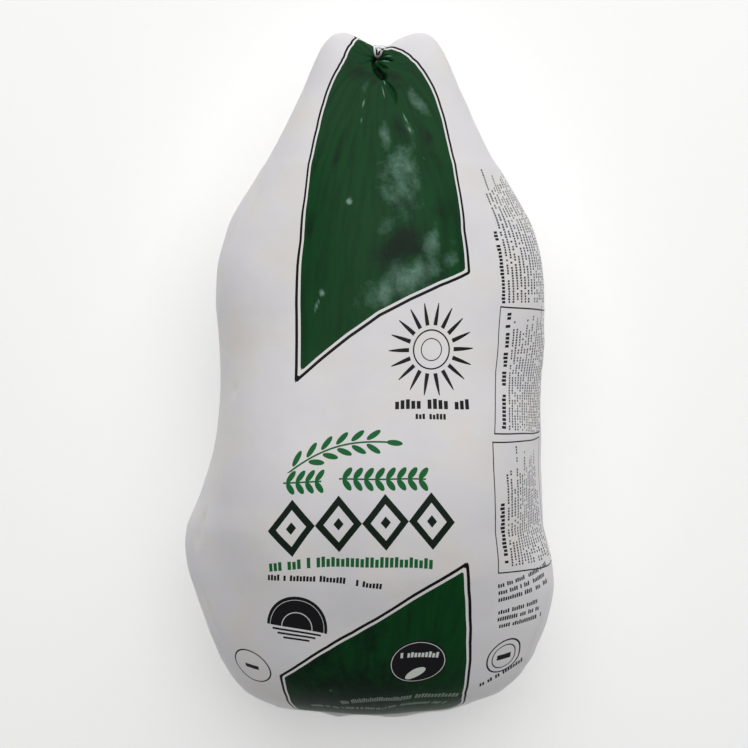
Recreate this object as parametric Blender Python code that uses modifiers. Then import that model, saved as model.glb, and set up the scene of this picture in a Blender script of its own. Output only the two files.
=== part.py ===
"""A whole dressed duck, shrunk tight in a printed film bag and lying on its back.

+X is to the right when the breast is seen from above with the legs pointing away, +Y runs from
the neck end to the leg end, and +Z is up, out of the breast. The origin is on the resting plane,
under the middle of the pack. All sizes are in metres.

The bird's body parts are ellipsoids and tapering limbs, kept as a wire guide. The guide is fused
and relaxed, so that it bridges the hollows as taut film does, and the skin is wrapped onto it.
"""

import math

import bmesh
import bpy
from mathutils import Matrix, Vector

# Overall sizes of the pack. Every body part's place and size is a share of these.
PACK_LENGTH = 0.335
PACK_WIDTH = 0.182
PACK_DEPTH = 0.110

# The bird lies a little askew in its bag: the leg end is to the right of the breast's midline.
LEG_SHIFT = 0.034

# Fusing the guide: how finely its parts are drawn, its grid, and how often the film's tension
# evens it out.
LUMP_SEGMENTS = 40
LUMP_RINGS = 24
LIMB_SEGMENTS = 32
LIMB_RINGS = 20
FUSE_GRID = 0.004
TENSION = 0.5
TENSION_STEPS = 48

# The skin's wrapping capsule.
SKIN_SEGMENTS = 64
SKIN_RINGS = 46
CAPSULE_RADIUS = 0.150
SPINE_HALF_LENGTH = 0.096
SPINE_HEIGHT = 0.048

# The bird's weight presses this much of its round back flat.
REST_PRESS = 0.0022

# The gathered mouth of the bag: a hollow between the hocks, the twisted film in it, and its clip.
HOLLOW_AT = (0.030, 0.488, 0.410)
HOLLOW_HALF = (0.050, 0.042, 0.230)
GATHER_TOP = (0.027, 0.4690, 0.530)
GATHER_LEAN = math.radians(6)
NECK_RADIUS = 0.0020
NECK_LENGTH = 0.0080
TAIL_RADIUS = 0.0045
TAIL_LENGTH = 0.0200
CLIP_WIRE = 0.0011
CLIP_DOWN = 0.0045
GATHER_FLATNESS = 0.5
FIT_GAP = 0.0004

TAIL_SEGMENTS = 24
CLIP_SEGMENTS = 28
CLIP_WIRE_SEGMENTS = 12

WHITE_FILM = (0.80, 0.79, 0.82, 1.0)
FILM_ROUGHNESS = 0.38
CLIP_METAL = (0.62, 0.62, 0.63, 1.0)
CLIP_ROUGHNESS = 0.35


def clear_scene():
    for old in list(bpy.data.objects):
        bpy.data.objects.remove(old, do_unlink=True)


def new_collection(name):
    collection = bpy.data.collections.new(name)
    bpy.context.scene.collection.children.link(collection)
    return collection


def new_material(name, colour, roughness, metallic=0.0):
    material = bpy.data.materials.new(name)
    material.use_nodes = True
    surface = material.node_tree.nodes["Principled BSDF"]
    surface.inputs["Base Color"].default_value = colour
    surface.inputs["Roughness"].default_value = roughness
    surface.inputs["Metallic"].default_value = metallic
    material.diffuse_color = colour
    return material


def object_from(builder, name, collection, material=None):
    mesh = bpy.data.meshes.new(name)
    builder.to_mesh(mesh)
    builder.free()
    made = bpy.data.objects.new(name, mesh)
    collection.objects.link(made)
    if material:
        mesh.materials.append(material)
        mesh.shade_smooth()
    return made


def hide_guide(guide):
    guide.hide_render = True
    guide.display_type = "WIRE"


def in_pack(across, along, up):
    """A place or a size given as shares of the pack's width, length and depth."""
    return Vector((across * PACK_WIDTH, along * PACK_LENGTH, up * PACK_DEPTH))


def add_lump(guide, at, half, turn=0.0, pitch=0.0):
    """An ellipsoid. Turn swings its far end to the left and pitch lifts it, in degrees."""
    swing = Matrix.Rotation(math.radians(turn), 4, "Z")
    lift = Matrix.Rotation(math.radians(pitch), 4, "X")
    stretch = Matrix.Diagonal((*in_pack(*half), 1.0))
    place = Matrix.Translation(in_pack(*at)) @ swing @ lift @ stretch
    bmesh.ops.create_uvsphere(guide, u_segments=LUMP_SEGMENTS, v_segments=LUMP_RINGS, radius=1.0,
                              matrix=place)


def add_limb(guide, start, end, start_radius, end_radius):
    """A round limb that tapers from one joint to the next. Radii are shares of the depth."""
    start, end = in_pack(*start), in_pack(*end)
    start_radius *= PACK_DEPTH
    end_radius *= PACK_DEPTH
    run = end - start
    place = Matrix.Translation((start + end) / 2) @ run.to_track_quat("Z", "Y").to_matrix().to_4x4()
    bmesh.ops.create_cone(guide, cap_ends=True, segments=LIMB_SEGMENTS, radius1=start_radius,
                          radius2=end_radius, depth=run.length, matrix=place)
    for joint, radius in ((start, start_radius), (end, end_radius)):
        bmesh.ops.create_uvsphere(guide, u_segments=LIMB_SEGMENTS, v_segments=LIMB_RINGS, radius=radius,
                                  matrix=Matrix.Translation(joint))


def add_trunk(guide):
    """Back, keel, breast lobes, shoulders, flanks, belly and tail."""
    add_lump(guide, at=(0.00, -0.110, 0.400), half=(0.430, 0.350, 0.410))
    add_lump(guide, at=(0.01, -0.160, 0.570), half=(0.200, 0.270, 0.465))
    add_lump(guide, at=(0.00, -0.330, 0.450), half=(0.270, 0.179, 0.400))
    for side in (-1, 1):
        lobe = (0.010 + side * 0.165, -0.155, 0.550)
        shoulder = (0.008 + side * 0.165, -0.320, 0.440)
        neck_corner = (side * 0.206 - 0.012, -0.394, 0.400)
        add_lump(guide, at=lobe, half=(0.265, 0.260, 0.450), turn=side * 4)
        add_lump(guide, at=shoulder, half=(0.288, 0.183, 0.400), turn=side * -6)
        add_lump(guide, at=neck_corner, half=(0.165, 0.104, 0.330))
    add_lump(guide, at=(0.032, 0.030, 0.430), half=(0.452, 0.220, 0.350))
    add_lump(guide, at=(0.030, 0.110, 0.500), half=(0.380, 0.280, 0.430), pitch=-5)
    add_lump(guide, at=(LEG_SHIFT, 0.350, 0.300), half=(0.150, 0.110, 0.190), pitch=10)


def add_legs(guide):
    """A thigh on each flank, the drumsticks drawn together, and the skin stretched between."""
    for side, hock_across in ((-1, -0.068), (1, 0.138)):
        thigh = (LEG_SHIFT + side * 0.275, 0.125, 0.430)
        knee = (LEG_SHIFT + side * 0.200, 0.205, 0.470)
        hock = (hock_across, 0.462, 0.480)
        add_lump(guide, at=thigh, half=(0.175, 0.160, 0.330), turn=side * -6)
        add_limb(guide, knee, hock, 0.300, 0.143)
    add_lump(guide, at=(LEG_SHIFT, 0.330, 0.500), half=(0.130, 0.148, 0.190))


def add_wings(guide):
    """Each wing folded against the flank: upper arm, elbow, forearm and tip."""
    for shoulder_across, elbow_across, elbow_along, tip_across in (
        (-0.300, -0.395, -0.260, -0.285),
        (0.345, 0.385, -0.320, 0.360),
    ):
        shoulder = (shoulder_across, -0.380, 0.440)
        elbow = (elbow_across, elbow_along, 0.380)
        tip = (tip_across, -0.060, 0.380)
        add_limb(guide, shoulder, elbow, 0.240, 0.215)
        add_limb(guide, elbow, tip, 0.210, 0.180)


def make_hollow_cutter(collection):
    """The notch between the hocks, where the gathered film lies."""
    hollow = bmesh.new()
    add_lump(hollow, at=HOLLOW_AT, half=HOLLOW_HALF)
    cutter = object_from(hollow, "notch_hollow", collection)
    hide_guide(cutter)
    return cutter


def make_rest_cutter(collection):
    """A slab whose top face is the resting plane."""
    slab = bmesh.new()
    size = Matrix.Diagonal((2 * PACK_WIDTH, 2 * PACK_LENGTH, PACK_DEPTH, 1.0))
    bmesh.ops.create_cube(slab, size=1.0, matrix=Matrix.Translation((0.0, 0.0, -PACK_DEPTH / 2)) @ size)
    cutter = object_from(slab, "resting_plane", collection)
    hide_guide(cutter)
    return cutter


def cut(piece, cutter, name):
    difference = piece.modifiers.new(name, "BOOLEAN")
    difference.operation = "DIFFERENCE"
    difference.object = cutter


def fuse(piece, name):
    remesh = piece.modifiers.new(name, "REMESH")
    remesh.mode = "VOXEL"
    remesh.voxel_size = FUSE_GRID


def make_bird_guide(hollow, collection):
    """All the body parts as one wire form, with the film's tension evened over it."""
    guide = bmesh.new()
    add_trunk(guide)
    add_legs(guide)
    add_wings(guide)
    bird = object_from(guide, "bird_under_film", collection)
    fuse(bird, "Fuse parts")
    cut(bird, hollow, "Notch between hocks")
    fuse(bird, "Even out grid")
    tension = bird.modifiers.new("Film tension", "SMOOTH")
    tension.factor = TENSION
    tension.iterations = TENSION_STEPS
    bird.location.z = -REST_PRESS
    hide_guide(bird)
    return bird


def make_skin(bird, resting_plane, collection, material):
    """A long capsule shrunk onto the bird, its poles at the neck and between the hocks."""
    capsule = bmesh.new()
    bmesh.ops.create_uvsphere(capsule, u_segments=SKIN_SEGMENTS, v_segments=SKIN_RINGS, radius=1.0,
                              matrix=Matrix.Rotation(math.radians(-90), 4, "X"))
    for point in capsule.verts:
        direction = point.co.copy()
        spine = Vector((LEG_SHIFT * PACK_WIDTH * max(direction.y, 0.0),
                        SPINE_HALF_LENGTH * direction.y, SPINE_HEIGHT))
        point.co = spine + direction * CAPSULE_RADIUS
    skin = object_from(capsule, "duck_in_film", collection, material)
    wrap = skin.modifiers.new("Shrink onto bird", "SHRINKWRAP")
    wrap.target = bird
    wrap.wrap_method = "PROJECT"
    wrap.use_negative_direction = True
    wrap.use_positive_direction = False
    cut(skin, resting_plane, "Rest on its back")
    return skin


def place_on_gather(piece, distance):
    """Put a piece this far down the gathered film, which hangs down and leans out a little."""
    lean = Matrix.Rotation(GATHER_LEAN, 3, "X")
    piece.location = in_pack(*GATHER_TOP) + lean @ Vector((0.0, 0.0, -distance))
    piece.rotation_euler = lean.to_euler()
    piece.scale.y = GATHER_FLATNESS


def make_gathered_tail(collection, material):
    """The end of the bag: a twisted neck that fans out into a short flat tail."""
    profile = (
        (0.0, 0.0),
        (NECK_RADIUS, 0.0),
        (NECK_RADIUS, -NECK_LENGTH),
        (TAIL_RADIUS, -TAIL_LENGTH),
        (0.0, -TAIL_LENGTH),
    )
    outline = bmesh.new()
    points = [outline.verts.new((radius, 0.0, height)) for radius, height in profile]
    for first, second in zip(points, points[1:]):
        outline.edges.new((first, second))
    tail = object_from(outline, "gathered_film_tail", collection, material)
    turn = tail.modifiers.new("Turn", "SCREW")
    turn.steps = TAIL_SEGMENTS
    turn.render_steps = TAIL_SEGMENTS
    turn.use_merge_vertices = True
    turn.merge_threshold = 0.0001
    turn.use_smooth_shade = True
    place_on_gather(tail, 0.0)
    return tail


def make_clip(collection, material):
    """A round wire clip crimped shut round the twisted neck."""
    bpy.ops.mesh.primitive_torus_add(
        major_segments=CLIP_SEGMENTS, minor_segments=CLIP_WIRE_SEGMENTS,
        major_radius=NECK_RADIUS + FIT_GAP + CLIP_WIRE, minor_radius=CLIP_WIRE,
    )
    clip = bpy.context.object
    clip.name = "crimped_clip"
    clip.data.name = "crimped_clip"
    clip.data.materials.append(material)
    clip.data.shade_smooth()
    for home in list(clip.users_collection):
        home.objects.unlink(clip)
    collection.objects.link(clip)
    place_on_gather(clip, CLIP_DOWN)
    return clip


def main():
    clear_scene()
    parts = new_collection("Packed whole duck")
    guides = new_collection("Guides and cutters")
    bird = make_bird_guide(make_hollow_cutter(guides), guides)
    film = new_material("white printed film", WHITE_FILM, FILM_ROUGHNESS)
    make_skin(bird, make_rest_cutter(guides), parts, film)
    make_gathered_tail(parts, film)
    make_clip(parts, new_material("clip wire", CLIP_METAL, CLIP_ROUGHNESS, 1.0))


main()
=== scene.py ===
import math

import bpy
import numpy as np
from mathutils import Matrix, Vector, noise
from mathutils.bvhtree import BVHTree


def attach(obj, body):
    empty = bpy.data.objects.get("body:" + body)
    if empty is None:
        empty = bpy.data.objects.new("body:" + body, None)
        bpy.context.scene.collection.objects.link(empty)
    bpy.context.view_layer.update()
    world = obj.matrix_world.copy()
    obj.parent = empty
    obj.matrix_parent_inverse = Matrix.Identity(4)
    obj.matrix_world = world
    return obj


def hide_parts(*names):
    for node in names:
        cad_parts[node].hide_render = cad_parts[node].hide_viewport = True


# Whole duck in a printed shrink bag, breast up, legs towards +Y. The CAD frame is in metres; sizes here are
# in mm unless a note says otherwise, and the print's places are bag mm: round the bag, then down it.

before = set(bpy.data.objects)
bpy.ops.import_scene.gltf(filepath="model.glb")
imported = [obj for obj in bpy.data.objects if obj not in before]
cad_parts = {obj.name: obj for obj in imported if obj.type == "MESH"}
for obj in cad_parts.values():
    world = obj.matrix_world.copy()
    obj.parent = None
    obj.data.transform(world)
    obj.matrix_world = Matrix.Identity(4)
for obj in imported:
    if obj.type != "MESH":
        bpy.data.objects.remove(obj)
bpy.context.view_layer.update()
print("CAD frame loaded:", ", ".join(sorted(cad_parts)))


def addNode(tree, kind, inputs=None, **settings):
    # inputs: a number, a colour, another node (its first output) or a node with the output to take
    node = tree.nodes.new(kind)
    for name, value in settings.items():
        setattr(node, name, value)
    for socket, value in (inputs or {}).items():
        if isinstance(value, bpy.types.Node):
            tree.links.new(value.outputs[0], node.inputs[socket])
        elif isinstance(value, tuple) and isinstance(value[0], bpy.types.Node):
            tree.links.new(value[0].outputs[value[1]], node.inputs[socket])
        else:
            node.inputs[socket].default_value = value
    return node


def linear(hexColour):
    # sRGB hex to the linear colour that a shader socket takes
    channels = [int(hexColour[i:i + 2], 16) / 255 for i in (1, 3, 5)]
    return tuple(c / 12.92 if c <= 0.04045 else ((c + 0.055) / 1.055) ** 2.4 for c in channels) + (1.0,)


# bag skin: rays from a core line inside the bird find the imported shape, then the grid is evened out
bag = {
    "columns": 400,
    "rows": 222,
    "rayColumns": 360,
    "legRays": 130,
    "sideRays": 150,
    "neckRays": 110,
    # places in metres, like the CAD: the core line's two ends, and where all the pleats meet
    "legCore": (0.0045, 0.100, 0.052),
    "neckCore": (0.0, -0.096, 0.047),
    "gather": (0.0044, 0.1530, 0.0622),
    "endSeam": (0.0005, -0.1665, 0.0400),
    "rounding": 3.6,  # ray steps over which the facets are evened out
    "rowsAtGather": (4.5, 0.045),  # how many more rows stand there, and over what share of the length
    "rowsAtSeam": (1.2, 0.05),
    "shownColumns": -0.28,  # columns stand closer on the shown side
    "spanFrom": -0.166,  # the film spans hollows between these places along the bird, in metres
    "spanTo": 0.124,
    "spanFacing": 0.12,  # and only where it faces up at least this much
    "spanSmoothing": 30,
    "spanTightness": 0.9,
    # the middle line and half width of the bird seen from above, in metres: place along it, then the value
    "midline": ((-0.15, 0.15), (0.0, 0.0065)),
    "halfWidth": ((-0.165, -0.14, 0.0, 0.06, 0.165), (0.05, 0.07, 0.08, 0.08, 0.03)),
    # how far the left and right flanks move to the right, in mm, at these places along the bird
    "flankAlong": (
        170, 154, 139, 124, 110, 95, 80, 65, 51, 32, 14, 0, -16, -31, -46, -62, -75, -90, -105, -120,
        -134, -144, -150, -157, -163,
    ),
    "flankLeft": (
        0, 1.0, 1.5, 0.5, -0.5, -1.5, 0, 0.5, -1, -1.5, 0, 0.5, 1, 1.5, 1, 0.3, -1.5, 0, 1, 1.5, 1.5,
        0, -2, -4, -4,
    ),
    "flankRight": (
        0, -1.0, -1.5, -1.5, -0.5, 0.5, -1.5, -1.5, -0.5, 1.3, 2, 1, 1.5, 1.5, 0, -1, -1.5, 1, 1.5, 0,
        -1.5, 0, 3, 6.5, 2,
    ),
    # soft pushes: place, direction and width of each, in mm
    "pushes": (
        ((-12, 164, 52), (0, 1.3, 0), 10),
        ((25, 164, 52), (0, 1.3, 0), 10),
        ((11, 156, 56), (0, 4.2, 0), 6.5),
        ((-1.5, 157, 56), (0, 2.6, 0), 5.5),
        ((7.0, 154.5, 60), (-0.6, 1.3, 0), 2.6),
        ((2.2, 157.0, 58), (1.5, 0.7, 0), 2.8),
    ),
}


def castFan(tree, origins, directions):
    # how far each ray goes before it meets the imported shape
    reach = np.zeros(directions.shape[:2])
    for j, origin in enumerate(origins):
        start = Vector(origin)
        for i, direction in enumerate(directions[j]):
            reach[j, i] = tree.ray_cast(start, Vector(direction))[3]
    return reach


def evenOut(reach, sigma):
    # Gaussian over rows and columns; past a pole the rows go on down the far side
    half = reach.shape[1] // 2
    pad = int(3 * sigma) + 1
    weights = np.exp(-0.5 * (np.arange(-pad, pad + 1) / sigma) ** 2)
    weights /= weights.sum()
    around = sum(w * np.roll(reach, k - pad, axis=1) for k, w in enumerate(weights))
    before = np.roll(around[1:pad + 1][::-1], half, axis=1)
    after = np.roll(around[-pad - 1:-1][::-1], half, axis=1)
    tall = np.vstack([before, around, after])
    return sum(w * tall[k:k + len(reach)] for k, w in enumerate(weights))


def respace(line, shares):
    # the line's points at these shares of its length
    steps = np.linalg.norm(np.diff(line, axis=0), axis=1)
    length = np.concatenate([[0], np.cumsum(steps)])
    places = [np.interp(shares * length[-1], length, line[:, k]) for k in range(3)]
    return np.stack(places, axis=1), length[-1]


def rowShares(rows):
    # rows stand closer at the gather and at the end seam
    fine = np.linspace(0, 1, 4001)
    (moreTop, topShare), (moreEnd, endShare) = bag["rowsAtGather"], bag["rowsAtSeam"]
    density = 1 + moreTop * np.exp(-fine / topShare) + moreEnd * np.exp(-(1 - fine) / endShare)
    total = np.concatenate([[0], np.cumsum((density[1:] + density[:-1]) / 2)])
    return np.interp(np.linspace(0, 1, rows + 1), total / total[-1], fine)


def columnShares(columns):
    even = np.arange(columns) / columns
    return even + bag["shownColumns"] * np.sin(2 * math.pi * even) / (2 * math.pi)


def skinGrid(node):
    mesh = node.data
    tree = BVHTree.FromPolygons([v.co for v in mesh.vertices], [p.vertices for p in mesh.polygons])
    leg, neck = np.array(bag["legCore"]), np.array(bag["neckCore"])
    angle = np.linspace(0, 2 * math.pi, bag["rayColumns"], endpoint=False)
    radial = np.stack([np.sin(angle), 0 * angle, np.cos(angle)], axis=1)
    toGather = np.array(bag["gather"]) - leg
    toSeam = np.array(bag["endSeam"]) - neck
    origins, directions = [], []
    for tilt in np.linspace(math.pi / 2, 0, bag["legRays"], endpoint=False):
        origins.append(leg)
        directions.append(math.cos(tilt) * radial + math.sin(tilt) * toGather / np.linalg.norm(toGather))
    for share in np.linspace(0, 1, bag["sideRays"], endpoint=False):
        origins.append(leg + share * (neck - leg))
        directions.append(radial)
    for tilt in np.linspace(0, math.pi / 2, bag["neckRays"]):
        origins.append(neck)
        directions.append(math.cos(tilt) * radial + math.sin(tilt) * toSeam / np.linalg.norm(toSeam))
    origins, directions = np.array(origins), np.array(directions)
    directions /= np.linalg.norm(directions, axis=2, keepdims=True)
    reach = evenOut(castFan(tree, origins, directions), bag["rounding"])
    raw = origins[:, None, :] + reach[:, :, None] * directions
    across = columnShares(bag["columns"])
    rings = []
    girth = 0.0
    for ring in raw:
        closed = np.vstack([ring, ring[:1]])
        points, length = respace(closed, across)
        girth = max(girth, length)
        rings.append(points)
    rings = np.array(rings)
    along = rowShares(bag["rows"])
    grid = np.empty((bag["rows"] + 1, bag["columns"], 3))
    for i in range(bag["columns"]):
        grid[:, i], length = respace(rings[:, i], along)
        if i == 0:
            breastLength = length
    grid[0] = grid[0].mean(axis=0)
    grid[-1] = grid[-1].mean(axis=0)
    return grid, across, along, girth, breastLength


def fitShape(grid):
    # the flanks' and the hocks' outline, moved by a few millimetres to the real one's
    moved = grid.copy()
    order = np.argsort(bag["flankAlong"])
    along = np.array(bag["flankAlong"])[order] / 1000
    offset = grid[:, :, 0] - np.interp(grid[:, :, 1], *bag["midline"])
    share = np.clip(np.abs(offset) / np.interp(grid[:, :, 1], *bag["halfWidth"]), 0, 1) ** 1.5
    for key, side in (("flankLeft", -1), ("flankRight", 1)):
        shift = np.interp(grid[:, :, 1], along, np.array(bag[key])[order] / 1000)
        moved[:, :, 0] += np.where(offset * side > 0, shift, 0) * share
    for place, push, width in bag["pushes"]:
        near = np.exp(-0.5 * np.sum((grid - np.array(place) / 1000) ** 2, axis=2) / (width / 1000) ** 2)
        moved += near[:, :, None] * np.array(push) / 1000
    return moved


def gridNormals(grid):
    around = np.roll(grid, -1, axis=1) - np.roll(grid, 1, axis=1)
    down = np.gradient(grid, axis=0)
    normal = np.cross(down, around)
    normal[0] = normal[1].mean(axis=0)
    normal[-1] = normal[-2].mean(axis=0)
    return normal / np.maximum(np.linalg.norm(normal, axis=2, keepdims=True), 1e-12)


def upperEnvelope(lengths, heights):
    # the lowest arch that nothing stands above, as film drawn tight spans a hollow
    hull = []
    for k in np.argsort(lengths):
        while len(hull) > 1:
            first, second = hull[-2], hull[-1]
            run, step = lengths[second] - lengths[first], lengths[k] - lengths[first]
            if (heights[second] - heights[first]) * step > (heights[k] - heights[first]) * run:
                break
            hull.pop()
        hull.append(k)
    return np.interp(lengths, lengths[hull], heights[hull])


def spanHollows(grid):
    # the film bridges the waist between legs and breast instead of following it down
    normal = gridNormals(grid)
    rise = np.zeros(grid.shape[:2])
    spanned = (grid[:, :, 1] > bag["spanFrom"]) & (grid[:, :, 1] < bag["spanTo"])
    for j in range(grid.shape[1]):
        rows = np.flatnonzero(spanned[:, j] & (normal[:, j, 2] > bag["spanFacing"]))
        if len(rows) < 5:
            continue
        lengths, heights = grid[rows, j, 1], grid[rows, j, 2]
        rise[rows, j] = (upperEnvelope(lengths, heights) - heights) * normal[rows, j, 2]
    for _ in range(bag["spanSmoothing"]):
        rise[1:-1] = (rise[:-2] + 2 * rise[1:-1] + rise[2:]) / 4
        rise = (np.roll(rise, 1, axis=1) + 2 * rise + np.roll(rise, -1, axis=1)) / 4
    return grid + bag["spanTightness"] * rise[:, :, None] * normal


# folds and dents in the film: a path in mm, its height in mm (below 0 is a groove) and its half width;
# a path without z is seen from above
relief = {
    "folds": (
        (((3.6, 154.5), (2.6, 152.3), (2.2, 150.2), (2.1, 147.7)), -1.8, 0.75),  # cleft beside the gather
        (((2.5, 148.9), (3.8, 146.9), (5.1, 144.9), (6.5, 143.2), (8.2, 141.4)), -2.7, 1.8),  # pit below it
        (((3.4, 147.9), (4.6, 146.2), (6.0, 144.2)), 0.9, 0.4),
        (((4.3, 148.6), (6.0, 146.6), (7.8, 145.2)), 0.7, 0.42),
        (((5.3, 153.1), (3.7, 150.9), (3.3, 149.0)), 1.0, 0.6),
        (((3.7, 153.8), (6.5, 155.5)), -1.1, 0.5),  # pleats that fan out to the right of it
        (((5.2, 153.6), (9.8, 154.0)), -1.0, 0.45),
        (((4.6, 152.6), (8.2, 153.0), (12.0, 153.0)), 0.8, 0.6),
        (((4.0, 151.6), (7.7, 151.9), (11.8, 151.0)), -1.6, 0.65),
        (((3.5, 150.6), (5.8, 150.9), (10.8, 150.1)), 0.9, 0.65),
        (((4.3, 150.1), (6.7, 148.2), (9.2, 147.2)), -1.4, 0.65),
        (((4.1, 149.2), (6.8, 146.7)), 0.5, 0.45),
        (((3.6, 148.5), (5.8, 145.8)), -1.0, 0.5),
        # crease that runs down from the pit
        (((7.5, 141.2), (10.2, 138.5), (12.4, 135.1), (13.1, 131.7), (13.2, 128.4)), -0.95, 0.55),
        (((6.3, 140.5), (9.0, 138.0), (11.2, 134.6), (12.1, 131.4)), 0.5, 0.65),
        (((17.2, 126.0), (18.6, 122.0), (18.0, 118.4)), 0.4, 0.7),
        # film pulled off the left wing
        (((-89.0, -94.0, 48.0), (-86.0, -101.0, 51.0), (-82.0, -110.0, 54.6),
          (-77.5, -121.0, 56.8), (-73.6, -131.5, 57.2), (-67.5, -142.0, 57.5)), 0.7, 1.3),
        (((-85.5, -97.0, 55.0), (-82.0, -104.0, 57.0), (-78.2, -113.0, 59.6), (-73.6, -124.0, 61.6),
          (-69.0, -134.0, 62.4)), -0.6, 2.2),
        (((-79.3, -66.0, 61.9), (-82.3, -76.8, 59.7), (-84.5, -86.0, 56.9)), -1.1, 3.2),
        # along the right wing
        (((85.6, -76.0, 49.5), (88.4, -87.6, 46.9), (89.4, -98.7, 49.4), (87.4, -108.0, 54.3),
          (84.1, -119.9, 57.4), (80.6, -128.9, 59.2), (76.7, -138.2, 59.0), (69.0, -149.6, 57.3)),
         -0.9, 1.1),
        (((84.0, -80.0, 55.0), (86.0, -90.0, 54.6), (86.4, -100.0, 56.0),
          (83.6, -110.0, 60.2), (79.6, -122.0, 63.6), (75.0, -133.0, 65.2)), 0.45, 2.0),
        # shallow dents over the breast and the thighs
        (((-64.0, -6.0, 74.0), (-61.5, -11.5, 77.5)), -0.9, 3.4),
        (((-66.0, 44.0, 68.0), (-69.0, 22.0, 62.0), (-69.0, 4.0, 60.0)), -0.5, 4.0),
        (((-52.0, 92.0, 66.0), (-60.0, 76.0, 66.0), (-67.0, 58.0, 64.0)), -0.5, 2.6),
        (((58.0, 98.0, 66.0), (68.0, 80.0, 65.0), (75.0, 62.0, 63.0)), -0.5, 2.6),
        (((-30.0, 76.5, 84.6), (-31.0, 66.0, 87.0)), -0.45, 1.2),
    ),
    "endShare": 0.18,  # a fold fades out over this share of its length at each end
    "overTop": 50,  # a path without z marks only the film above this height
    "pleats": (170, 200, -214, -182, -150, -118, -84),  # more valleys, in bag mm round the gather
    "pleatHeight": 0.9,
    "pleatWidth": 7.5,
    "pleatStrengths": (1.0, 0.7, 0.9),
    "pleatLength": 8.0,
    "pitDepth": 2.6,
    "pitWidth": 1.9,
    "shadeDepth": 2.6,  # painted shade: a groove this deep near the gather is painted fully dark, as if it let no light out
    "paleHeight": 0.9,  # a ridge this high at the gather is painted pale: painted highlight and stretched ink
    "gatherReach": 45,  # painted shade darkens grooves only this near the gather, and painted highlight pales ridges only within ridgeReach
    "ridgeReach": 16,
    "calmHeight": 12,  # the film lies flatter on the floor, from this height down
    "waves": ((24.0, 0.42), (7.0, 0.10)),  # lumps of meat, then shrink crinkle: size and height
}


def pathDistance(points, path):
    # distance to a bent line, and how far along it the nearest place is, from 0 to 1
    path = np.array(path, float)
    steps = np.linalg.norm(np.diff(path, axis=0), axis=1)
    starts = np.concatenate([[0], np.cumsum(steps)])
    best = np.full(len(points), 1e9)
    place = np.zeros(len(points))
    for k, step in enumerate(steps):
        run = (path[k + 1] - path[k]) / max(step, 1e-9)
        share = np.clip((points - path[k]) @ run, 0, step)
        gap = np.linalg.norm(points - path[k] - share[:, None] * run, axis=1)
        nearer = gap < best
        best = np.where(nearer, gap, best)
        place = np.where(nearer, (starts[k] + share) / starts[-1], place)
    return best, place


def bagPlaces():
    # u and v of every grid point, in bag mm
    u = np.tile(np.where(across > 0.5, across - 1, across) * girth * 1000, bag["rows"] + 1)
    return u, np.repeat(along * breastLength * 1000, bag["columns"])


def softSpots(grid, spots):
    # each spot: u, v, its two half sizes, its turn in degrees and its strength; noise wears the edges away
    uMm, vMm = bagPlaces()
    places = [Vector(p) * 1000 for p in grid.reshape(-1, 3)]
    drift = np.array([noise.noise_vector(p / filmWear["driftSize"])[:] for p in places])
    ripple = np.array([noise.fractal(p / filmWear["rippleSize"], 0.8, 2.1, 4) for p in places])
    total = np.zeros(len(uMm))
    for u, v, halfLong, halfShort, turn, strength in spots:
        cosine, sine = math.cos(math.radians(turn)), math.sin(math.radians(turn))
        pull = min(halfLong, halfShort, 6) * 0.6
        x, y = uMm - u + pull * drift[:, 0], vMm - v + pull * drift[:, 1]
        reach = ((x * cosine + y * sine) / halfLong) ** 2 + ((y * cosine - x * sine) / halfShort) ** 2
        total = np.maximum(total, strength * np.exp(-reach))
    return (total * np.clip(1 + 0.45 * ripple, 0.2, 1.6)).reshape(bag["rows"] + 1, bag["columns"])


def addRelief(grid):
    normal = gridNormals(grid)
    points = grid.reshape(-1, 3) * 1000
    uMm, vMm = bagPlaces()
    height = np.zeros(len(points))
    for path, rise, width in relief["folds"]:
        gap, place = pathDistance(points[:, :len(path[0])], path)
        ends = np.clip(place / relief["endShare"], 0, 1) * np.clip((1 - place) / relief["endShare"], 0, 1)
        narrowed = width * (0.5 + 0.5 * np.sin(math.pi * place))
        shown = 1.0 if len(path[0]) == 3 else points[:, 2] > relief["overTop"]
        height += shown * rise * np.exp(-(gap / narrowed) ** 2) * (0.15 + 0.85 * ends)
    reach = np.clip((vMm - 0.5) / 2.0, 0, 1) * np.exp(-(vMm / relief["pleatLength"]) ** 2)
    for k, valley in enumerate(relief["pleats"]):
        gap = np.abs((uMm - valley + girth * 500) % (girth * 1000) - girth * 500)
        strength = relief["pleatStrengths"][k % len(relief["pleatStrengths"])]
        height -= relief["pleatHeight"] * strength * reach * np.exp(-(gap / relief["pleatWidth"]) ** 2)
    height -= relief["pitDepth"] * np.exp(-(vMm / relief["pitWidth"]) ** 2)
    nearGather = np.clip((relief["gatherReach"] - vMm) / 15, 0, 1)
    # painted shade: the grooves' depth near the gather becomes a share of near-black paint
    depth = nearGather * np.clip(-height / relief["shadeDepth"], 0, 1)
    nearRidges = nearGather * np.clip((relief["ridgeReach"] - vMm) / 6, 0, 1)
    # painted highlight and stretched ink: the ridges' height near the gather becomes pale frost colour
    ridge = nearRidges * np.clip(height / relief["paleHeight"], 0, 1)
    calm = np.clip(points[:, 2] / relief["calmHeight"], 0, 1)
    for size, rise in relief["waves"]:
        wave = np.array([noise.noise(Vector(p) / size) for p in points])
        height += rise * calm * wave
    moved = grid + (height / 1000)[:, None].reshape(*grid.shape[:2], 1) * normal
    moved[:, :, 2] = np.maximum(moved[:, :, 2], 0)
    return moved, depth.reshape(grid.shape[:2]), ridge.reshape(grid.shape[:2])


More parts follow.
